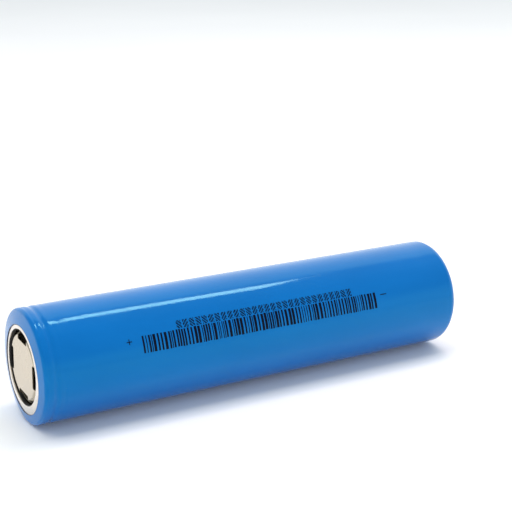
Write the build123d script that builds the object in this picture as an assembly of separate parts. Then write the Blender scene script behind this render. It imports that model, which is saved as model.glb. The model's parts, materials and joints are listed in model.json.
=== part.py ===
from build123d import *
import math
import os

# Cylindrical lithium iron phosphate cell of the 33140 format, lying on its side.
# All sizes are in millimetres. The cell's axis is X: the positive end points along -X and the
# negative end along +X. The origin is on the axis, halfway along the cell.
# "Depth" is the distance from the positive end's outermost plane, measured along +X.

# Driving dimensions
CELL_LENGTH = 140.0
CELL_RADIUS = 16.7

# Heat-shrink sleeve
SLEEVE_WALL = 0.15
SLEEVE_DIP = 0.2              # how far the film sinks over the bead groove
SLEEVE_DIP_REACH = 0.85       # axial distance from the dip's middle to its edges
SLEEVE_FOLD_RADIUS = 2.6      # rounding at the negative end
NEGATIVE_OPENING = 13.0       # radius of the hole left over the negative end
POSITIVE_OPENING_Y = 12.6     # half width of the hole left over the positive end
POSITIVE_OPENING_Z = 12.85    # half height of the same hole
OPENING_SHIFT_Y = -0.3        # the film shrinks a little off centre
OPENING_SHIFT_Z = -0.6

# Can
CAN_RADIUS = CELL_RADIUS - SLEEVE_WALL
CAN_WALL = 0.3
MOUTH_WALL = 0.45             # the drawn can is thicker at its mouth and in its bottom
SHOULDER_RADIUS = 0.9         # rounding where the mouth is crimped over
LIP_INNER_RADIUS = 10.95
LIP_FLAT_RADIUS = 12.3        # the crimped lip is flat out to here and slopes back beyond
LIP_SLOPE = 0.19              # depth gained per millimetre of radius on the slope
LIP_EDGE_RADIUS = 0.15
LIP_FACE = SLEEVE_WALL
LIP_BACK = LIP_FACE + MOUTH_WALL
CAN_BASE_OUTSIDE = CELL_LENGTH - SLEEVE_WALL
CAN_BASE_INSIDE = CAN_BASE_OUTSIDE - MOUTH_WALL
CAN_BASE_RADIUS = SLEEVE_FOLD_RADIUS - SLEEVE_WALL
TERMINAL_RECESS = 0.1         # the middle of the can's bottom is coined in by this much
TERMINAL_RADIUS = 11.9

# Bead groove rolled into the can under the cap
BEAD_START = 3.3
BEAD_END = 5.2
BEAD_SLOPE = 0.45             # axial length of each flank
BEAD_DEPTH = 1.35
BEAD_ROUNDING = 0.35

# Cap stack, as depths from the positive end
GASKET_LIP = 0.75
GASKET_FLOOR = 0.7
GASKET_INNER_RADIUS = 10.7
GASKET_CLEARANCE = 0.05
SHEET = 0.3                   # aluminium sheet of the vent disc and the tab
CAP_SHEET = 0.4
VENT_FOLD_TOP = LIP_BACK + GASKET_LIP
FLANGE_TOP = VENT_FOLD_TOP + SHEET
VENT_TOP = FLANGE_TOP + CAP_SHEET
VENT_BOTTOM = VENT_TOP + SHEET
STACK_BOTTOM = VENT_BOTTOM + GASKET_FLOOR
CAP_TOP = LIP_FACE + 0.28     # the cap sits a little below the can's lip
CAP_TOP_RADIUS = 9.2
CAP_FOOT_RADIUS = 10.4
FLANGE_RADIUS = 14.8
VENT_RADIUS = FLANGE_RADIUS + GASKET_CLEARANCE + SHEET

# Vent windows notched into the cap's shoulder
WINDOW_COUNT = 4
WINDOW_INNER = 7.5            # distance from the axis to each window's straight edge
WINDOW_OUTER = 10.2
WINDOW_WIDTH = 6.8
WINDOW_ROUNDING = 0.5
WINDOW_FIRST_ANGLE = 183.0    # direction of the first window, from +Y towards +Z

# Vent disc, isolation ring and contact disc
VENT_DISH_RADIUS = 7.0
VENT_BOSS_RADIUS = 3.0
VENT_DISH_DEPTH = 0.63
SCORE_RADIUS = 8.3
SCORE_HALF_WIDTH = 0.1
SCORE_DEPTH = 0.12
ISOLATION_RADIUS = 11.7
ISOLATION_WEB = 0.6
ISOLATION_WALL = 0.75
CONTACT_TOP = VENT_BOTTOM + VENT_DISH_DEPTH
CONTACT_SHEET = 0.44
CONTACT_BOTTOM = CONTACT_TOP + CONTACT_SHEET
CONTACT_RADIUS = 10.9
CONTACT_HOLES = 6
CONTACT_HOLE_RADIUS = 1.1
CONTACT_HOLE_CIRCLE = 6.8

# Wound roll
CORE_RADIUS = 2.2
TURNS = 38
ANODE_COATING = 0.05
ANODE_FOIL = 0.02
CATHODE_COATING = 0.075
CATHODE_FOIL = 0.02
SEPARATOR = 0.02
LAYER_GAP = 0.003
PITCH = 2 * (ANODE_COATING + CATHODE_COATING + SEPARATOR) + ANODE_FOIL + CATHODE_FOIL + 8 * LAYER_GAP
ROLL_RADIUS = CORE_RADIUS + (TURNS + 0.75) * PITCH
ROLL_CLEARANCE = 0.05

# Parts at the ends of the roll
COLLECTOR_RADIUS = 14.8
COLLECTOR_SHEET = 0.4
COLLECTOR_SLOTS = 6
COLLECTOR_SLOT_WIDTH = 1.4
COLLECTOR_SLOT_LENGTH = 7.0
COLLECTOR_SLOT_CIRCLE = 8.6
COLLECTOR_HOLE_RADIUS = 1.6
POSITIVE_COLLECTOR_TOP = 6.75
POSITIVE_COLLECTOR_BOTTOM = POSITIVE_COLLECTOR_TOP + COLLECTOR_SHEET
NEGATIVE_COLLECTOR_TOP = 138.0
INSULATOR_TOP = 5.6
INSULATOR_SHEET = 0.4
INSULATOR_RADIUS = 15.9
INSULATOR_HOLE_RADIUS = 7.0
INSULATOR_VENTS = 8
INSULATOR_VENT_RADIUS = 1.2
INSULATOR_VENT_CIRCLE = 11.0
TAB_WIDTH = 6.0
TAB_HALF_HEIGHT = 5.3
TAPE = 0.06
END_TAPE_LIP = 13.6
END_TAPE_LENGTH = 4.5
WINDING_TAPE_ARC = 352.0      # the tape goes once round, with a narrow gap between its ends

# Depths at which each wound layer starts and ends
SEPARATOR_SPAN = (8.4, 135.4)
CATHODE_COATING_SPAN = (10.6, 132.6)
ANODE_COATING_SPAN = (9.6, 133.6)
CATHODE_FOIL_SPAN = (POSITIVE_COLLECTOR_BOTTOM, 132.6)
ANODE_FOIL_SPAN = (9.6, NEGATIVE_COLLECTOR_TOP)
WINDING_TAPE_SPAN = (12.0, 132.0)


def at_depth(depth):
    """X coordinate of a depth from the positive end."""
    return depth - CELL_LENGTH / 2


def turned(*corners):
    """Solid turned about the cell's axis. Each corner is (depth, radius) or (depth, radius, rounding)."""
    points = [(at_depth(corner[0]), corner[1]) for corner in corners]
    roundings = [corner[2] if len(corner) == 3 else 0 for corner in corners]
    outline = FilletPolyline(*points, radius=roundings, close=True)
    return revolve(Plane.XZ * make_face(outline), Axis.X)


def cross_section_plane(depth):
    """Plane across the cell at a depth: local x is +Y, local y is +Z, and its normal is +X."""
    return Plane.YZ.offset(at_depth(depth))


def punched(shape, start, end):
    """Solid of a flat shape, across the cell, between two depths."""
    return extrude(cross_section_plane(start) * shape, amount=end - start)


def ring_of(shape, count, first_angle=0.0):
    """The same flat shape repeated evenly round the cell's axis."""
    step = 360 / count
    return Sketch() + [Rot(0, 0, first_angle + i * step) * shape for i in range(count)]


def lip_depth(radius):
    """Depth of the can's outer face on the sloping part of its crimped lip."""
    return LIP_FACE + (radius - LIP_FLAT_RADIUS) * LIP_SLOPE


def heat_shrink_sleeve():
    """Film tube shrunk over the can and folded over both of its ends."""
    wall = SLEEVE_WALL
    wall_on_slope = wall * math.hypot(1, LIP_SLOPE)
    slope_start = LIP_FLAT_RADIUS + (wall_on_slope - wall) / LIP_SLOPE
    inside = CELL_RADIUS - wall
    middle = (BEAD_START + BEAD_END) / 2
    dip_rounding = 1.5
    smallest_opening = POSITIVE_OPENING_Y + OPENING_SHIFT_Z - wall
    tube = turned(
        (0, smallest_opening),
        (0, slope_start),
        (lip_depth(CELL_RADIUS) - wall_on_slope, CELL_RADIUS, SHOULDER_RADIUS + wall),
        (middle - SLEEVE_DIP_REACH, CELL_RADIUS, dip_rounding),
        (middle, CELL_RADIUS - SLEEVE_DIP, dip_rounding),
        (middle + SLEEVE_DIP_REACH, CELL_RADIUS, dip_rounding),
        (CELL_LENGTH, CELL_RADIUS, SLEEVE_FOLD_RADIUS),
        (CELL_LENGTH, NEGATIVE_OPENING),
        (CAN_BASE_OUTSIDE, NEGATIVE_OPENING),
        (CAN_BASE_OUTSIDE, inside, CAN_BASE_RADIUS),
        (middle + SLEEVE_DIP_REACH, inside, dip_rounding),
        (middle, inside - SLEEVE_DIP, dip_rounding),
        (middle - SLEEVE_DIP_REACH, inside, dip_rounding),
        (lip_depth(inside), inside, SHOULDER_RADIUS),
        (LIP_FACE, LIP_FLAT_RADIUS),
        (LIP_FACE, smallest_opening),
    )
    opening = Pos(OPENING_SHIFT_Y, OPENING_SHIFT_Z) * Ellipse(POSITIVE_OPENING_Y, POSITIVE_OPENING_Z)
    return tube - punched(opening, -wall, SHOULDER_RADIUS)


def steel_can():
    """Drawn can with a flat bottom, a rolled bead groove and a mouth crimped over the gasket."""
    outside = CAN_RADIUS
    mouth_inside = outside - MOUTH_WALL
    body_inside = outside - CAN_WALL
    thickening = 0.25         # axial room that the mouth's thickness takes on each side of the groove
    return turned(
        (LIP_FACE, LIP_INNER_RADIUS, LIP_EDGE_RADIUS),
        (LIP_FACE, LIP_FLAT_RADIUS),
        (lip_depth(outside), outside, SHOULDER_RADIUS),
        (BEAD_START, outside, BEAD_ROUNDING),
        (BEAD_START + BEAD_SLOPE, outside - BEAD_DEPTH, BEAD_ROUNDING),
        (BEAD_END - BEAD_SLOPE, outside - BEAD_DEPTH, BEAD_ROUNDING),
        (BEAD_END, outside, BEAD_ROUNDING),
        (CAN_BASE_OUTSIDE, outside, CAN_BASE_RADIUS),
        (CAN_BASE_OUTSIDE, TERMINAL_RADIUS + TERMINAL_RECESS),
        (CAN_BASE_OUTSIDE - TERMINAL_RECESS, TERMINAL_RADIUS),
        (CAN_BASE_OUTSIDE - TERMINAL_RECESS, 0),
        (CAN_BASE_INSIDE, 0),
        (CAN_BASE_INSIDE, body_inside, CAN_BASE_RADIUS - CAN_WALL),
        (BEAD_END + 2.0, body_inside),
        (BEAD_END + 1.2, mouth_inside),
        (BEAD_END + thickening, mouth_inside, BEAD_ROUNDING),
        (BEAD_END - BEAD_SLOPE + thickening, mouth_inside - BEAD_DEPTH, BEAD_ROUNDING),
        (BEAD_START + BEAD_SLOPE - thickening, mouth_inside - BEAD_DEPTH, BEAD_ROUNDING),
        (BEAD_START - thickening, mouth_inside, BEAD_ROUNDING),
        (lip_depth(mouth_inside) + MOUTH_WALL, mouth_inside, SHOULDER_RADIUS - MOUTH_WALL),
        (LIP_BACK, LIP_FLAT_RADIUS),
        (LIP_BACK, LIP_INNER_RADIUS, LIP_EDGE_RADIUS),
    )


def sealing_gasket():
    """Plastic ring, C-shaped in section, squeezed between the can's mouth and the cap stack."""
    outside = CAN_RADIUS - MOUTH_WALL - GASKET_CLEARANCE
    pocket = VENT_RADIUS + GASKET_CLEARANCE
    floor_inner = 12.2
    return turned(
        (LIP_BACK, GASKET_INNER_RADIUS, LIP_EDGE_RADIUS),
        (LIP_BACK, LIP_FLAT_RADIUS),
        (lip_depth(outside) + MOUTH_WALL, outside, SHOULDER_RADIUS - MOUTH_WALL),
        (STACK_BOTTOM, outside, BEAD_ROUNDING + GASKET_CLEARANCE),
        (STACK_BOTTOM, floor_inner),
        (VENT_BOTTOM, floor_inner),
        (VENT_BOTTOM, pocket),
        (VENT_FOLD_TOP, pocket),
        (VENT_FOLD_TOP, GASKET_INNER_RADIUS, LIP_EDGE_RADIUS),
    )


def cap_windows():
    """Outlines of the cap's vent windows: straight towards the axis, round on the outside."""
    reach = WINDOW_OUTER - WINDOW_INNER
    strip = Pos(WINDOW_INNER + reach, 0) * Rectangle(2 * reach, WINDOW_WIDTH)
    window = strip & Circle(WINDOW_OUTER)
    return ring_of(fillet(window.vertices(), WINDOW_ROUNDING), WINDOW_COUNT, WINDOW_FIRST_ANGLE)


def positive_cap():
    """Stamped cap: a low flat-topped hat on a flange, with a window notched through each quarter."""
    bend = 0.25
    wall_turn = math.atan2(FLANGE_TOP - CAP_TOP, CAP_FOOT_RADIUS - CAP_TOP_RADIUS)
    inset = CAP_SHEET * math.tan(wall_turn / 2)
    hat = turned(
        (CAP_TOP, 0),
        (CAP_TOP, CAP_TOP_RADIUS, bend),
        (FLANGE_TOP, CAP_FOOT_RADIUS, bend),
        (FLANGE_TOP, FLANGE_RADIUS),
        (VENT_TOP, FLANGE_RADIUS),
        (VENT_TOP, CAP_FOOT_RADIUS - inset, bend),
        (CAP_TOP + CAP_SHEET, CAP_TOP_RADIUS - inset, bend),
        (CAP_TOP + CAP_SHEET, 0),
    )
    return hat - punched(cap_windows(), CAP_TOP - CAP_SHEET, VENT_TOP + CAP_SHEET)


def vent_disc():
    """Dished, scored disc whose rim is rolled over the cap's flange."""
    fold_inner = FLANGE_RADIUS + GASKET_CLEARANCE
    fold_tip = 13.2
    boss_top = VENT_TOP + VENT_DISH_DEPTH
    return turned(
        (boss_top, 0),
        (boss_top, VENT_BOSS_RADIUS),
        (VENT_TOP, VENT_DISH_RADIUS),
        (VENT_TOP, fold_inner),
        (FLANGE_TOP, fold_inner),
        (FLANGE_TOP, fold_tip),
        (VENT_FOLD_TOP, fold_tip),
        (VENT_FOLD_TOP, VENT_RADIUS, SHEET / 2),
        (VENT_BOTTOM, VENT_RADIUS, SHEET / 2),
        (VENT_BOTTOM, SCORE_RADIUS + SCORE_HALF_WIDTH),
        (VENT_BOTTOM - SCORE_DEPTH, SCORE_RADIUS),
        (VENT_BOTTOM, SCORE_RADIUS - SCORE_HALF_WIDTH),
        (VENT_BOTTOM, VENT_DISH_RADIUS),
        (CONTACT_TOP, VENT_BOSS_RADIUS),
        (CONTACT_TOP, 0),
    )


def isolation_ring():
    """Plastic ring that carries the contact disc's edge and keeps it off the vent disc's rim."""
    bore = 9.2
    hook_radius = 10.3
    hook = 0.45
    groove_radius = ISOLATION_RADIUS - ISOLATION_WALL
    groove_top = VENT_BOTTOM + ISOLATION_WEB
    return turned(
        (VENT_BOTTOM, bore),
        (VENT_BOTTOM, ISOLATION_RADIUS),
        (CONTACT_BOTTOM + hook, ISOLATION_RADIUS),
        (CONTACT_BOTTOM + hook, hook_radius),
        (CONTACT_BOTTOM, hook_radius),
        (CONTACT_BOTTOM, groove_radius),
        (groove_top, groove_radius),
        (groove_top, bore),
    )


def contact_disc():
    """Perforated disc welded to the vent disc's centre, thinned where the weld tears free."""
    hole = Pos(CONTACT_HOLE_CIRCLE, 0) * Circle(CONTACT_HOLE_RADIUS)
    thinned_radius = 1.5
    disc = punched(Circle(CONTACT_RADIUS), CONTACT_TOP, CONTACT_BOTTOM)
    disc -= punched(ring_of(hole, CONTACT_HOLES), CONTACT_TOP, CONTACT_BOTTOM)
    return disc - punched(Circle(thinned_radius), CONTACT_BOTTOM - CONTACT_SHEET / 2, CONTACT_BOTTOM)


def positive_tab():
    """Aluminium strap folded to and fro between the contact disc and the positive collector."""
    first_run = CONTACT_BOTTOM + SHEET / 2
    last_run = POSITIVE_COLLECTOR_TOP - SHEET / 2
    bend = (last_run - first_run) / 4
    reach = TAB_HALF_HEIGHT - SHEET / 2
    middle_run = (first_run + last_run) / 2
    start = (at_depth(first_run), -reach + bend)
    first_bend = (at_depth(first_run), reach - bend)
    second_bend = (at_depth(middle_run), -reach + bend)
    third_start = (at_depth(last_run), -reach + bend)
    end = (at_depth(last_run), reach - bend)
    path = Line(start, first_bend)
    path += CenterArc((first_bend[0] + bend, first_bend[1]), bend, 180, -180)
    path += Line((at_depth(middle_run), reach - bend), second_bend)
    path += CenterArc((second_bend[0] + bend, second_bend[1]), bend, 180, 180)
    path += Line(third_start, end)
    strip = Plane.XZ * trace(path, SHEET)
    return extrude(strip, amount=TAB_WIDTH / 2, both=True)


def slotted_disc(top):
    """Flat collector disc with radial slots that let the electrolyte in."""
    slot = Pos(COLLECTOR_SLOT_CIRCLE, 0) * SlotOverall(COLLECTOR_SLOT_LENGTH, COLLECTOR_SLOT_WIDTH)
    shape = Circle(COLLECTOR_RADIUS) - ring_of(slot, COLLECTOR_SLOTS, 180 / COLLECTOR_SLOTS)
    return punched(shape, top, top + COLLECTOR_SHEET)


def positive_collector():
    """Aluminium disc welded to the cathode foil's bare edge."""
    hole = punched(
        Circle(COLLECTOR_HOLE_RADIUS), POSITIVE_COLLECTOR_TOP, POSITIVE_COLLECTOR_BOTTOM
    )
    return slotted_disc(POSITIVE_COLLECTOR_TOP) - hole


def negative_collector():
    """Nickel-plated copper disc welded to the anode foil's edge, dimpled down to the can's bottom."""
    dimple_radius = 3.2
    dimple_foot = 4.4
    bottom = NEGATIVE_COLLECTOR_TOP + COLLECTOR_SHEET
    flat = slotted_disc(NEGATIVE_COLLECTOR_TOP)
    flat -= punched(Circle(dimple_foot), NEGATIVE_COLLECTOR_TOP, bottom)
    dimple = turned(
        (CAN_BASE_INSIDE - COLLECTOR_SHEET, 0),
        (CAN_BASE_INSIDE - COLLECTOR_SHEET, dimple_radius - COLLECTOR_SHEET / 2),
        (NEGATIVE_COLLECTOR_TOP, dimple_foot - COLLECTOR_SHEET / 2),
        (NEGATIVE_COLLECTOR_TOP, dimple_foot),
        (bottom, dimple_foot),
        (CAN_BASE_INSIDE, dimple_radius),
        (CAN_BASE_INSIDE, 0),
    )
    return flat + dimple


def top_insulator():
    """Plastic disc between the bead and the roll, open in the middle for the tab."""
    vent = Pos(INSULATOR_VENT_CIRCLE, 0) * Circle(INSULATOR_VENT_RADIUS)
    shape = Circle(INSULATOR_RADIUS) - Circle(INSULATOR_HOLE_RADIUS) - ring_of(vent, INSULATOR_VENTS)
    return punched(shape, INSULATOR_TOP, INSULATOR_TOP + INSULATOR_SHEET)


def positive_end_tape():
    """Insulating tape collar folded over the roll's positive end."""
    outside = ROLL_RADIUS + ROLL_CLEARANCE + TAPE
    top = POSITIVE_COLLECTOR_TOP - 2 * TAPE
    return turned(
        (top, END_TAPE_LIP),
        (top, outside),
        (top + END_TAPE_LENGTH, outside),
        (top + END_TAPE_LENGTH, outside - TAPE),
        (top + TAPE, outside - TAPE),
        (top + TAPE, END_TAPE_LIP),
    )


def winding_tape():
    """Film wrapped once round the roll to keep it closed."""
    middle = ROLL_RADIUS + ROLL_CLEARANCE + TAPE / 2
    arc = CenterArc((0, 0), middle, 0, WINDING_TAPE_ARC)
    return punched(trace(arc, TAPE), *WINDING_TAPE_SPAN)


def spiral_line(offset, first_half_turn, last_half_turn):
    """Half circles that wind outwards by one pitch per turn, as edges from the inside out."""
    edges = []
    for half_turn in range(first_half_turn, last_half_turn):
        radius = CORE_RADIUS + offset + half_turn * PITCH / 2
        centre = PITCH / 4 if half_turn % 2 else -PITCH / 4
        edges.append(CenterArc((centre, 0), radius, 180 * (half_turn % 2), 180))
    return edges


def wound_sheet(offset, thickness, span, skipped_half_turns=0):
    """One layer of the roll: a spiral strip whose inner face is at an offset within the pitch."""
    first = skipped_half_turns
    last = 2 * TURNS - skipped_half_turns
    inner = spiral_line(offset, first, last)
    outer = spiral_line(offset + thickness, first, last)
    start = Line(inner[0] @ 0, outer[0] @ 0)
    end = Line(inner[-1] @ 1, outer[-1] @ 1)
    strip = make_face([*(arc.edge() for arc in inner + outer), start.edge(), end.edge()])
    return punched(strip, *span)


def wound_layers():
    """Every layer of the roll, from the inside out, as a name, thickness, span and skipped half turns."""
    layers = [
        ("anode_coating_inner", ANODE_COATING, ANODE_COATING_SPAN, 1),
        ("anode_foil", ANODE_FOIL, ANODE_FOIL_SPAN, 1),
        ("anode_coating_outer", ANODE_COATING, ANODE_COATING_SPAN, 1),
        ("separator_a", SEPARATOR, SEPARATOR_SPAN, 0),
        ("cathode_coating_inner", CATHODE_COATING, CATHODE_COATING_SPAN, 2),
        ("cathode_foil", CATHODE_FOIL, CATHODE_FOIL_SPAN, 2),
        ("cathode_coating_outer", CATHODE_COATING, CATHODE_COATING_SPAN, 2),
        ("separator_b", SEPARATOR, SEPARATOR_SPAN, 0),
    ]
    made = {}
    offset = 0.0
    for name, thickness, span, skipped in layers:
        made[name] = wound_sheet(offset, thickness, span, skipped)
        offset += thickness + LAYER_GAP
    return made


def main():
    """Write one STEP file per piece."""
    pieces = {
        "heat_shrink_sleeve": heat_shrink_sleeve(),
        "steel_can": steel_can(),
        "sealing_gasket": sealing_gasket(),
        "positive_cap": positive_cap(),
        "vent_disc": vent_disc(),
        "isolation_ring": isolation_ring(),
        "contact_disc": contact_disc(),
        "positive_tab": positive_tab(),
        "top_insulator": top_insulator(),
        "positive_collector": positive_collector(),
        "positive_end_tape": positive_end_tape(),
        "winding_tape": winding_tape(),
        "negative_collector": negative_collector(),
        **wound_layers(),
    }
    os.makedirs("parts", exist_ok=True)
    for name, piece in pieces.items():
        export_step(piece, f"parts/{name}.step")


main()
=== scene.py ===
"""Looks of the cylindrical cell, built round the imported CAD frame. Everything is in metres."""

import json
import math
import random

import bmesh
import bpy
from mathutils import Matrix, Vector, noise


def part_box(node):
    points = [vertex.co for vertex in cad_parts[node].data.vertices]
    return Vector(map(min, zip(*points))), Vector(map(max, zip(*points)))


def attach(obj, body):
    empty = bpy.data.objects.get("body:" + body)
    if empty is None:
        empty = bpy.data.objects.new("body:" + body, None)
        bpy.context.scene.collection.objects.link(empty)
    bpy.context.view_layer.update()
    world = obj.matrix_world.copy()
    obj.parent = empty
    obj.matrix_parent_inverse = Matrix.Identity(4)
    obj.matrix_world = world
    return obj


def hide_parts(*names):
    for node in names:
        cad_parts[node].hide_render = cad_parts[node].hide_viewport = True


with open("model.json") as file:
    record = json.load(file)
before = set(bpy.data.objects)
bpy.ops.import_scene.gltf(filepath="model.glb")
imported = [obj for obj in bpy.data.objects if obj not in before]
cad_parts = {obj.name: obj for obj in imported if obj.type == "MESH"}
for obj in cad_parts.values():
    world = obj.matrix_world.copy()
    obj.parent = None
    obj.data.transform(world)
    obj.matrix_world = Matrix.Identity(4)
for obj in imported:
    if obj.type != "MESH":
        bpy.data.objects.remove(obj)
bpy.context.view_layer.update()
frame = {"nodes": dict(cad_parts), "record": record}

MM = 0.001

# The film's place comes from its CAD node.
film_low, film_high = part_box("heat_shrink_sleeve")
CELL_START = film_low.x               # plane of the positive end
CELL_END = film_high.x                # plane of the negative end
CELL_LENGTH = CELL_END - CELL_START
CELL_RADIUS = (film_high.z - film_low.z) / 2
FLOOR_Z = film_low.z


# ---------------------------------------------------------------- mesh helpers


def on_cylinder(x, radius, angle):
    """Point at an angle round the cell's axis, measured from -Y (the front) up towards +Z."""
    return Vector((x, -radius * math.cos(angle), radius * math.sin(angle)))


def smooth_step(low, high, value):
    """0 below low, 1 above high, and a smooth rise between them."""
    t = min(max((value - low) / (high - low), 0), 1)
    return t * t * (3 - 2 * t)


def hump(centre, half_width, value):
    """A smooth bump of height 1 that ends half_width from its centre."""
    distance = abs(value - centre) / half_width
    return 0 if distance >= 1 else 0.5 + 0.5 * math.cos(math.pi * distance)


def ring_noise(x, angle, round_scale, along_scale, seed):
    """Smooth noise on the cell's surface that closes on itself round the axis."""
    point = Vector((x / along_scale, math.cos(angle) * round_scale, math.sin(angle) * round_scale))
    return noise.noise(point + Vector((seed * 17.3, seed * 5.1, seed * 9.7)))


def mesh_object(name, bm, materials, smooth=True):
    """Turns a bmesh into an object of the scene."""
    bmesh.ops.recalc_face_normals(bm, faces=bm.faces)
    mesh = bpy.data.meshes.new(name)
    bm.to_mesh(mesh)
    bm.free()
    for material in materials:
        mesh.materials.append(material)
    for polygon in mesh.polygons:
        polygon.use_smooth = smooth
    piece = bpy.data.objects.new(name, mesh)
    bpy.context.scene.collection.objects.link(piece)
    return piece


def add_piece(piece, slot, *replaced):
    """Puts a finished piece on the cell and hides the CAD nodes it stands for; its slot is not used."""
    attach(piece, "root")
    if replaced:
        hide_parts(*replaced)


# ---------------------------------------------------------------- materials

NOISE_RANGE = (0.35, 0.65)            # a noise pattern's values mostly lie between these


class Shader:
    """A node material built round one Principled shader, in object coordinates."""

    def __init__(self, name, roughness, metallic=0.0, **constants):
        self.material = bpy.data.materials.new(name)
        self.material.use_nodes = True
        self.nodes = self.material.node_tree.nodes
        self.links = self.material.node_tree.links
        self.principled = self.nodes["Principled BSDF"]
        self.principled.inputs["Roughness"].default_value = roughness
        self.principled.inputs["Metallic"].default_value = metallic
        for socket, value in constants.items():
            self.principled.inputs[socket.replace("_", " ")].default_value = value
        self.place = self.nodes.new("ShaderNodeTexCoord").outputs["Object"]

    def stretched(self, scale):
        """Object coordinates stretched by a scale along each axis."""
        mapping = self.nodes.new("ShaderNodeMapping")
        mapping.inputs["Scale"].default_value = scale
        self.links.new(self.place, mapping.inputs["Vector"])
        return mapping.outputs["Vector"]

    def noise(self, scale, detail=3.0, roughness=0.5, stretch=(1, 1, 1)):
        """Value of a noise pattern with about scale bumps per metre."""
        texture = self.nodes.new("ShaderNodeTexNoise")
        texture.inputs["Scale"].default_value = scale
        texture.inputs["Detail"].default_value = detail
        texture.inputs["Roughness"].default_value = roughness
        self.links.new(self.stretched(stretch), texture.inputs["Vector"])
        return texture.outputs["Fac"]

    def ramp(self, value, low, high):
        """A noise value spread over a range of numbers."""
        spread = self.nodes.new("ShaderNodeMapRange")
        spread.inputs["From Min"].default_value, spread.inputs["From Max"].default_value = NOISE_RANGE
        spread.inputs["To Min"].default_value = low
        spread.inputs["To Max"].default_value = high
        self.links.new(value, spread.inputs["Value"])
        return spread.outputs["Result"]

    def colours(self, value, first, second):
        """Two colours mixed by a noise value, as the shader's base colour."""
        ramp = self.nodes.new("ShaderNodeValToRGB")
        ramp.color_ramp.elements[0].position = NOISE_RANGE[0]
        ramp.color_ramp.elements[0].color = (*first, 1)
        ramp.color_ramp.elements[1].position = NOISE_RANGE[1]
        ramp.color_ramp.elements[1].color = (*second, 1)
        self.links.new(value, ramp.inputs["Fac"])
        self.links.new(ramp.outputs["Color"], self.principled.inputs["Base Color"])

    def rough(self, value, low, high):
        """Roughness that varies between two numbers."""
        self.links.new(self.ramp(value, low, high), self.principled.inputs["Roughness"])

    def bump(self, value, height, strength=1.0, rounding=0.0):
        """Surface relief of a height in metres, on edges softened by a rounding radius."""
        bump = self.nodes.new("ShaderNodeBump")
        if rounding:
            soft_edges = self.nodes.new("ShaderNodeBevel")
            soft_edges.samples = 6
            soft_edges.inputs["Radius"].default_value = rounding
            self.links.new(soft_edges.outputs["Normal"], bump.inputs["Normal"])
        bump.inputs["Strength"].default_value = strength
        bump.inputs["Distance"].default_value = height
        self.links.new(value, bump.inputs["Height"])
        self.links.new(bump.outputs["Normal"], self.principled.inputs["Normal"])


def film_material():
    """Glossy blue heat-shrink film with faint flow marks."""
    shader = Shader(
        "blue_film", 0.1, IOR=1.5, Specular_IOR_Level=0.6, Specular_Tint=(0.15, 1, 0.85, 1)
    )
    flow = shader.noise(90, detail=4, stretch=(0.35, 1, 1))
    shader.colours(flow, (0.0018, 0.123, 0.445), (0.0022, 0.134, 0.475))
    shader.rough(shader.noise(260, detail=3), 0.07, 0.12)
    shader.bump(shader.noise(420, detail=2, stretch=(0.5, 1, 1)), 0.004 * MM, 0.6)
    return shader.material


def film_edge_shade_material():
    """The film where it was cut: painted near-black shade along the cut edge."""
    shader = Shader("blue_film_edge_painted_shade", 0.3, Specular_IOR_Level=0.3)
    ragged = shader.noise(1500, detail=3)
    # These near-black colours are painted shade along the cut edge.
    shader.colours(ragged, (0.0005, 0.006, 0.035), (0.001, 0.012, 0.06))
    shader.rough(ragged, 0.25, 0.4)
    return shader.material


def ink_material():
    """Printed ink: nearly black, a little uneven in density."""
    shader = Shader("printed_ink", 0.35, Specular_IOR_Level=0.1)
    density = shader.noise(2600, detail=3)
    shader.colours(density, (0.0005, 0.0015, 0.007), (0.0008, 0.004, 0.018))
    shader.rough(shader.noise(1800), 0.28, 0.45)
    return shader.material


def nickel_material(name, warm, dull):
    """Nickel-plated steel with fine rolling lines and light scuffs."""
    shader = Shader(name, 0.24, metallic=1.0)
    lines = shader.noise(700, detail=4, stretch=(0.2, 0.15, 2.2))
    blotches = shader.noise(160, detail=3)
    shader.colours(blotches, dull, warm)
    shader.rough(blotches, 0.2, 0.3)
    shader.bump(lines, 0.003 * MM, 0.5, rounding=0.12 * MM)
    return shader.material


def sheet_metal_material(name, light, dark, roughness):
    """Bare rolled sheet or foil."""
    shader = Shader(name, roughness, metallic=1.0)
    grain = shader.noise(900, detail=4, stretch=(0.15, 1, 1))
    shader.colours(grain, dark, light)
    shader.rough(grain, roughness * 0.8, roughness * 1.25)
    shader.bump(grain, 0.004 * MM, 0.5)
    return shader.material


def moulded_material(name, light, dark, roughness):
    """Moulded plastic with a faint texture."""
    shader = Shader(name, roughness)
    mottle = shader.noise(1100, detail=3)
    shader.colours(mottle, dark, light)
    shader.rough(mottle, roughness * 0.85, roughness * 1.15)
    shader.bump(mottle, 0.01 * MM, 0.5)
    return shader.material


def coated_material(name, light, dark):
    """Powdery electrode coating."""
    shader = Shader(name, 0.85)
    powder = shader.noise(6000, detail=5, roughness=0.7)
    shader.colours(powder, dark, light)
    shader.rough(powder, 0.75, 0.95)
    shader.bump(powder, 0.006 * MM, 0.8)
    return shader.material


def tape_material():
    """Thin translucent green tape, drawn here as an opaque film with stretch marks."""
    shader = Shader("green_tape", 0.3)
    marks = shader.noise(500, detail=3, stretch=(3, 0.4, 0.4))
    shader.colours(marks, (0.02, 0.16, 0.06), (0.04, 0.24, 0.09))
    shader.rough(marks, 0.25, 0.4)
    shader.bump(marks, 0.01 * MM, 0.5)
    return shader.material


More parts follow.
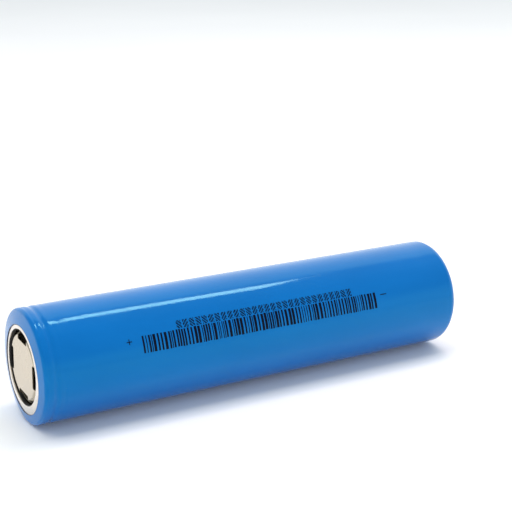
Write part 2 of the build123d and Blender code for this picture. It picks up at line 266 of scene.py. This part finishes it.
# Each slot's material: its maker, its name, and the colours and roughness given to the maker.
NODE_MATERIALS = {
    "nickel_plated_steel": (
        nickel_material, "nickel_steel", (0.58, 0.505, 0.39), (0.53, 0.46, 0.355)
    ),
    "nickel_plated_copper": (
        nickel_material, "nickel_copper", (0.72, 0.69, 0.62), (0.66, 0.62, 0.55)
    ),
    "aluminium_sheet": (
        sheet_metal_material, "aluminium_sheet", (0.74, 0.75, 0.76), (0.66, 0.67, 0.68), 0.35
    ),
    "aluminium_foil": (
        sheet_metal_material, "aluminium_foil", (0.83, 0.84, 0.85), (0.77, 0.78, 0.79), 0.2
    ),
    "copper_foil": (
        sheet_metal_material, "copper_foil", (0.83, 0.46, 0.28), (0.72, 0.37, 0.21), 0.22
    ),
    "black_plastic": (
        moulded_material, "black_plastic", (0.004, 0.004, 0.0035), (0.002, 0.002, 0.002), 0.6
    ),
    "white_plastic": (
        moulded_material, "white_plastic", (0.78, 0.78, 0.75), (0.7, 0.7, 0.67), 0.4
    ),
    "separator_film": (
        moulded_material, "separator_film", (0.86, 0.86, 0.84), (0.8, 0.8, 0.78), 0.55
    ),
    "cathode_coating": (
        coated_material, "cathode_coating", (0.03, 0.03, 0.033), (0.018, 0.018, 0.02)
    ),
    "anode_coating": (
        coated_material, "anode_coating", (0.014, 0.014, 0.015), (0.006, 0.006, 0.007)
    ),
    "green_tape": (tape_material,),
    "blue_film": (film_material,),
}


def dress_nodes():
    """Gives every CAD node its slot's material, and the can and the vent disc one of their own, the vent
    disc's dark as painted shade under the cap's windows.
    """
    made = {slot: maker(*looks) for slot, (maker, *looks) in NODE_MATERIALS.items()}
    for part in frame["record"]["subparts"]:
        mesh = frame["nodes"][part["node"]].data
        mesh.materials.clear()
        mesh.materials.append(made[part["material_slot"]])
    can_plating = nickel_material("can_nickel_steel", (0.80, 0.74, 0.67), (0.75, 0.69, 0.62))
    frame["nodes"]["steel_can"].data.materials[0] = can_plating
    # Dark brown aluminium: painted shade on the vent disc, which sits deep under the cap's windows.
    vent_painted_shade = sheet_metal_material("vent_aluminium_painted_shade", (0.20, 0.18, 0.15), (0.12, 0.11, 0.09), 0.5)
    frame["nodes"]["vent_disc"].data.materials[0] = vent_painted_shade
    return made


# ---------------------------------------------------------------- the shrunk film

FILM_WALL = 0.15 * MM
LIP_SLOPE = 0.19                      # depth per radius where the can's lip slopes back
SLOPE_START = 12.31 * MM              # the film is flat inside this radius and sloping outside it
SHOULDER = 1.05 * MM                  # rounding of the film at the positive end
HEEL = 2.6 * MM                       # rounding of the film at the negative end
FOLD_OPENING = (12.6 * MM, 12.85 * MM)  # half width and half height of the hole at the positive end
FOLD_SHIFT = (0.3 * MM, -0.6 * MM)    # how far that hole is off centre: to the front, and up if positive
HEEL_OPENING = 13.0 * MM              # mean radius of the hole at the negative end
EDGE_SHADE_STRIP = 0.18 * MM                # mean width of the painted shade line along the cut edge
STRIP_SWING = 0.7                     # share by which that width swings from front to back
STRIP_INSIDE = 0.6                    # share of it that is drawn further in than the cut edge
BEAD_MIDDLE = 4.25 * MM               # depths are measured from the positive end
BEAD_DIP, BEAD_REACH = 0.23 * MM, 1.2 * MM  # the film's sag over the bead groove, and its half width
NEAR_LUMPS = 0.11 * MM                # lumps beside the bead
FAR_LUMPS = 0.4                       # those at the negative end, as a share of the near ones
WANDER = 0.006 * MM                   # slow unevenness along the whole film
PLEATS = 0.012 * MM                   # fine pleats on the shoulder
ROUND_STEPS = 288                     # points round the cell
RING_STEP = 0.16 * MM                 # distance between the film's rings over the bead
WIDE_STEP = 1.3 * MM                  # how much wider they get on the straight stretch
CLOSE_RINGS = 8 * MM                  # depth where they start to get wider


def fold_edge(angle):
    """Radius of the film's cut edge at the positive end: an ellipse off centre, a little ragged."""
    half_width, half_height = FOLD_OPENING
    c, s = math.cos(angle), math.sin(angle)
    along = c * FOLD_SHIFT[0] / half_width**2 + s * FOLD_SHIFT[1] / half_height**2
    square = (c / half_width) ** 2 + (s / half_height) ** 2
    offset = (FOLD_SHIFT[0] / half_width) ** 2 + (FOLD_SHIFT[1] / half_height) ** 2
    reach = (along + math.sqrt(along**2 + square * (1 - offset))) / square
    ragged = 0.10 * MM * ring_noise(0, angle, 1.6, 1, 3) + 0.03 * MM * ring_noise(0, angle, 7, 1, 4)
    return reach + ragged


def edge_shade_width(angle):
    """Width of the painted shade line along the cut edge, which is widest at the back of the cell."""
    return EDGE_SHADE_STRIP * (1 - STRIP_SWING * math.cos(angle))


def heel_edge(angle):
    """Radius of the film's cut edge at the negative end."""
    wander = 0.35 * MM * ring_noise(1, angle, 1.4, 1, 5)
    return HEEL_OPENING + wander + 0.05 * MM * ring_noise(1, angle, 8, 1, 6)


def film_sag(depth, angle):
    """How far the film lies inside the cell's full radius."""
    dip = BEAD_DIP * hump(BEAD_MIDDLE, BEAD_REACH, depth)
    dip += 0.06 * MM * hump(2.0 * MM, 0.7 * MM, depth)
    dip += 0.045 * MM * hump(6.6 * MM, 0.9 * MM, depth) * (0.5 + ring_noise(1, angle, 2.5, 1, 9))
    near = smooth_step(1.5 * MM, 3.5 * MM, depth) * (1 - smooth_step(6 * MM, 20 * MM, depth))
    from_end = CELL_LENGTH - depth
    far = 1 - smooth_step(4 * MM, 16 * MM, from_end)
    lump = NEAR_LUMPS * (0.5 + ring_noise(depth, angle, 2.6, 4.5 * MM, 1)) * max(near, FAR_LUMPS * far)
    wander = WANDER * (0.5 + ring_noise(depth, angle, 1.5, 24 * MM, 2))
    pleats = PLEATS * (0.5 + ring_noise(depth, angle, 14, 3 * MM, 7)) * hump(1 * MM, 2.4 * MM, depth)
    return dip + lump + wander + pleats


def film_radius(depth, angle):
    """Outside radius of the film on its straight stretch."""
    return CELL_RADIUS - film_sag(depth, angle)


def arc_points(steps, first=0.0):
    """Sines and cosines of even steps from a first angle to 90 degrees, both ends included."""
    angles = [first + (math.pi / 2 - first) * i / steps for i in range(steps + 1)]
    return [(math.sin(angle), math.cos(angle)) for angle in angles]


def fold_depth(radius):
    """Depth of the film's outside on the crimped lip: flat, then sloping back."""
    return max(0, (radius - SLOPE_START) * LIP_SLOPE)


def shoulder_centre():
    """Depth of the centre of the film's rounding, where its straight stretch begins."""
    return fold_depth(CELL_RADIUS - SHOULDER) + SHOULDER * math.hypot(1, LIP_SLOPE)


def straight_depths():
    """Depths of the film's rings between its two rounded ends: close over the bead, then wider."""
    depths = []
    depth = shoulder_centre()
    last = CELL_LENGTH - HEEL
    while depth < last - 0.3 * MM:
        depths.append(depth)
        widening = 0 if depth < CLOSE_RINGS else min((depth - CLOSE_RINGS) * 0.2, WIDE_STEP)
        depth += RING_STEP + widening
    return depths


def film_section(angle):
    """Outside of the film at one angle, as (depth, radius), from cut edge to cut edge."""
    points = []
    # The strip beside the cut edge at the positive end carries the painted shade.
    strip = edge_shade_width(angle)
    edge = fold_edge(angle) - STRIP_INSIDE * strip
    lip_start = edge + strip
    tilt = math.atan(LIP_SLOPE)
    centre_radius = CELL_RADIUS - SHOULDER
    slope_end = centre_radius + SHOULDER * math.sin(tilt)
    for radius in [edge] + [lip_start + (slope_end - lip_start) * i / 10 for i in range(10)]:
        points.append((fold_depth(radius), radius))
    shoulder_sag = film_sag(shoulder_centre(), angle)
    for sine, cosine in arc_points(12, tilt)[:-1]:
        radius = centre_radius + (SHOULDER - shoulder_sag) * sine
        points.append((shoulder_centre() - SHOULDER * cosine, radius))
    for depth in straight_depths():
        points.append((depth, film_radius(depth, angle)))
    heel_sag = film_sag(CELL_LENGTH - HEEL, angle)
    for sine, cosine in arc_points(14):
        radius = CELL_RADIUS - HEEL + HEEL * cosine - heel_sag * cosine
        points.append((CELL_LENGTH - HEEL + HEEL * sine, radius))
    last = heel_edge(angle)
    flat_start = CELL_RADIUS - HEEL
    for i in range(1, 7):
        points.append((CELL_LENGTH, flat_start + (last - flat_start) * i / 6))
    return points


def inner_section(outside):
    """The film's other face, one wall thickness inside the given section."""
    points = []
    for i, (depth, radius) in enumerate(outside):
        before = outside[max(i - 1, 0)]
        after = outside[min(i + 1, len(outside) - 1)]
        along, out = after[0] - before[0], after[1] - before[1]
        length = math.hypot(along, out)
        points.append((depth + FILM_WALL * out / length, radius - FILM_WALL * along / length))
    return points


def shrunk_film(material, shade_material):
    """Closed mesh of the heat-shrink film: both faces, and the two cut edges, which carry painted shade.
    """
    bm = bmesh.new()
    rings = []
    for step in range(ROUND_STEPS):
        angle = 2 * math.pi * step / ROUND_STEPS
        outside = film_section(angle)
        section = outside + inner_section(outside)[::-1]
        rings.append([bm.verts.new(on_cylinder(CELL_START + d, r, angle)) for d, r in section])
    for ring, following in zip(rings, rings[1:] + rings[:1]):
        for i in range(len(ring)):
            j = (i + 1) % len(ring)
            bm.faces.new((ring[i], ring[j], following[j], following[i]))
    film = mesh_object("shrunk_film", bm, [material, shade_material])
    # A ring is the outside and then the inside, so the cuts are at its middle and its end. The first
    # strip of the outside, beside the cut edge at the positive end, gets the painted shade too.
    ring_size = len(rings[0])
    painted_shade_faces = (0, ring_size // 2 - 1, ring_size - 1)
    for polygon in film.data.polygons:
        if polygon.index % ring_size in painted_shade_faces:
            polygon.material_index = 1
    add_piece(film, "blue_film", "heat_shrink_sleeve")


# ---------------------------------------------------------------- the printed marks

INK_PROUD = 0.012 * MM                # height of the ink above the film
INK_SUNK = 0.03 * MM                  # how far it reaches into the film, so no gap shows
BARS_START, BARS_END = -39.9 * MM, 39.9 * MM
BARS_LOW, BARS_HIGH = math.radians(13.2), math.radians(30.0)
BAR_MODULE = 0.27 * MM
ROW_START, ROW_END = -28.7 * MM, 31.1 * MM
ROW_LOW, ROW_HIGH = math.radians(30.8), math.radians(39.0)
ROW_COUNT = 29
BLOCK_FILL, DOT_FILL = 0.78, 0.9      # share of its pitch that a block, and a dot, takes up
PLUS_X, MINUS_X = -43.8 * MM, 41.9 * MM
SIGN_ANGLE = math.radians(26.4)


def add_patch(bm, x_low, x_high, low, high, steps=8):
    """A thin closed patch of ink that follows the film between two angles and two places along it."""
    columns = []
    for i in range(steps + 1):
        angle = low + (high - low) * i / steps
        corners = []
        for x in (x_low, x_high):
            surface = film_radius(x - CELL_START, angle)
            corners.append((bm.verts.new(on_cylinder(x, surface + INK_PROUD, angle)),
                            bm.verts.new(on_cylinder(x, surface - INK_SUNK, angle))))
        columns.append(corners)
    for (left, right), (next_left, next_right) in zip(columns, columns[1:]):
        bm.faces.new((left[0], right[0], next_right[0], next_left[0]))
        bm.faces.new((left[1], next_left[1], next_right[1], right[1]))
        bm.faces.new((left[0], next_left[0], next_left[1], left[1]))
        bm.faces.new((right[0], right[1], next_right[1], next_right[0]))
    for left, right in (columns[0], columns[-1]):
        bm.faces.new((left[0], left[1], right[1], right[0]))


def printed_bars(material):
    """A row of bars of made-up widths, which says nothing."""
    rng = random.Random(20)
    bm = bmesh.new()
    x = BARS_START
    while x < BARS_END - 2 * BAR_MODULE:
        width = BAR_MODULE * rng.choice((1, 2, 2, 3))
        gap = BAR_MODULE * rng.choice((1, 1, 2, 2))
        jitter = math.radians(rng.uniform(-0.25, 0.25))
        add_patch(bm, x, min(x + width, BARS_END), BARS_LOW + jitter, BARS_HIGH + jitter)
        x += width + gap
    add_piece(mesh_object("printed_bars", bm, [material], smooth=False), "black_plastic")


def printed_row(material):
    """A row of small hatched blocks, each a slanting pattern of dots and no letter."""
    rng = random.Random(7)
    bm = bmesh.new()
    pitch = (ROW_END - ROW_START) / ROW_COUNT
    columns, lines = 5, 7
    dot = pitch * BLOCK_FILL / columns
    rise = (ROW_HIGH - ROW_LOW) / lines
    for block in range(ROW_COUNT):
        slope = rng.choice((-2, -1, 1, 2))
        phase = rng.randrange(3)
        for column in range(columns):
            for line in range(lines):
                if (line + slope * column + phase) % 3 != 0:
                    x = ROW_START + block * pitch + column * dot
                    low = ROW_LOW + line * rise
                    add_patch(bm, x, x + dot * DOT_FILL, low, low + rise * DOT_FILL, steps=1)
    add_piece(mesh_object("printed_row", bm, [material], smooth=False), "black_plastic")


def polarity_signs(material):
    """The plus and minus signs that say which end is which."""
    bm = bmesh.new()
    arm = 0.8 * MM
    minus_arm = 1.1 * MM
    stroke = 0.14 * MM
    turn = arm / CELL_RADIUS
    thin = stroke / CELL_RADIUS
    add_patch(bm, PLUS_X - arm, PLUS_X + arm, SIGN_ANGLE - thin, SIGN_ANGLE + thin, steps=2)
    add_patch(bm, PLUS_X - stroke, PLUS_X + stroke, SIGN_ANGLE + thin, SIGN_ANGLE + turn, steps=2)
    add_patch(bm, PLUS_X - stroke, PLUS_X + stroke, SIGN_ANGLE - turn, SIGN_ANGLE - thin, steps=2)
    add_patch(bm, MINUS_X - minus_arm, MINUS_X + minus_arm, SIGN_ANGLE - thin, SIGN_ANGLE + thin, steps=2)
    add_piece(mesh_object("polarity_signs", bm, [material], smooth=False), "black_plastic")


# ---------------------------------------------------------------- stage, light and camera


def floor(z):
    """A wide, plain, pale floor."""
    bm = bmesh.new()
    half = 6.0
    corners = ((-half, -half), (half, -half), (half, half), (-half, half))
    bm.faces.new([bm.verts.new((x, y, z)) for x, y in corners])
    shader = Shader("floor", 0.9, Specular_IOR_Level=0.0, Emission_Strength=0.045)
    shader.colours(shader.noise(3), (0.88, 0.88, 0.88), (0.90, 0.90, 0.90))
    piece = mesh_object("floor", bm, [shader.material], smooth=False)


def gradient(nodes, links, value, span, strengths):
    """A strength that changes smoothly while a value goes from one end of a span to the other."""
    spread = nodes.new("ShaderNodeMapRange")
    spread.interpolation_type = "SMOOTHSTEP"
    spread.inputs["From Min"].default_value, spread.inputs["From Max"].default_value = span
    spread.inputs["To Min"].default_value, spread.inputs["To Max"].default_value = strengths
    links.new(value, spread.inputs["Value"])
    return spread.outputs["Result"]


def studio_world():
    """White studio: plain white to the camera, bright behind and near the floor, dimmer elsewhere."""
    world = bpy.data.worlds.new("studio")
    bpy.context.scene.world = world
    world.use_nodes = True
    nodes, links = world.node_tree.nodes, world.node_tree.links
    nodes.clear()
    direction = nodes.new("ShaderNodeTexCoord").outputs["Generated"]
    split = nodes.new("ShaderNodeSeparateXYZ")
    links.new(direction, split.inputs["Vector"])
    towards_panel = nodes.new("ShaderNodeVectorMath")
    towards_panel.operation = "DOT_PRODUCT"
    towards_panel.inputs[1].default_value = (0.45, 0.90, 0)
    links.new(direction, towards_panel.inputs[0])
    back = gradient(nodes, links, towards_panel.outputs["Value"], (0.39, 0.54), (0.6, 1.3))
    low = gradient(nodes, links, split.outputs["Z"], (0.45, 0.12), (0.6, 1.15))
    brighter = nodes.new("ShaderNodeMath")
    brighter.operation = "MAXIMUM"
    links.new(back, brighter.inputs[0])
    links.new(low, brighter.inputs[1])
    lit = nodes.new("ShaderNodeBackground")
    links.new(brighter.outputs["Value"], lit.inputs["Strength"])
    lit.inputs["Color"].default_value = (0.93, 0.99, 1.02, 1)
    seen = nodes.new("ShaderNodeBackground")
    seen.inputs["Strength"].default_value = 1.0
    seen.inputs["Color"].default_value = (1, 1, 1, 1)
    path = nodes.new("ShaderNodeLightPath")
    mix = nodes.new("ShaderNodeMixShader")
    links.new(path.outputs["Is Camera Ray"], mix.inputs[0])
    links.new(lit.outputs[0], mix.inputs[1])
    links.new(seen.outputs[0], mix.inputs[2])
    links.new(mix.outputs[0], nodes.new("ShaderNodeOutputWorld").inputs["Surface"])


def area_light(
    name, place, target, size, energy, along=(1, 0, 0), colour=(1, 1, 1), in_reflections=True
):
    """A rectangular soft light that points at a target, with its long side along a direction."""
    data = bpy.data.lights.new(name, "AREA")
    data.color = colour
    data.shape = "RECTANGLE"
    data.size, data.size_y = size
    data.energy = energy
    back = (Vector(place) - Vector(target)).normalized()
    side = (Vector(along) - back * back.dot(Vector(along))).normalized()
    light = bpy.data.objects.new(name, data)
    light.location = place
    light.rotation_euler = Matrix((side, back.cross(side), back)).transposed().to_euler()
    light.visible_glossy = in_reflections
    bpy.context.scene.collection.objects.link(light)


def lights():
    """A long thin strip overhead that draws the highlight, and a broad soft light above."""
    area_light(
        "strip", (0.369, 0.160, 0.9), (-0.02, 0, 0), (0.28, 0.12), 1.2,
        along=(0.96, -0.28, 0), colour=(1.0, 0.66, 0.66),
    )
    area_light("top_light", (0, 0, 1.2), (0, 0, 0), (2.4, 0.6), 12.5, in_reflections=False)


def camera():
    """The camera, from the front left and a little above."""
    azimuth, elevation = math.radians(-29.93), math.radians(16.33)
    target = Vector((5.13, 0, 21.28)) * MM
    distance = 371.34 * MM
    back = Vector((
        math.sin(azimuth) * math.cos(elevation),
        -math.cos(azimuth) * math.cos(elevation),
        math.sin(elevation),
    ))
    data = bpy.data.cameras.new("camera")
    data.sensor_width = 36
    data.lens = 86.52
    data.clip_start = 0.01
    view = bpy.data.objects.new("camera", data)
    view.location = target + back * distance
    view.rotation_euler = (-back).to_track_quat("-Z", "Y").to_euler()
    bpy.context.scene.collection.objects.link(view)
    bpy.context.scene.camera = view


# ---------------------------------------------------------------- making

camera()
studio_world()
lights()
floor(FLOOR_Z)
made = dress_nodes()
ink = ink_material()
shrunk_film(made["blue_film"], film_edge_shade_material())
printed_bars(ink)
printed_row(ink)
polarity_signs(ink)
bpy.context.scene.view_settings.view_transform = "Standard"
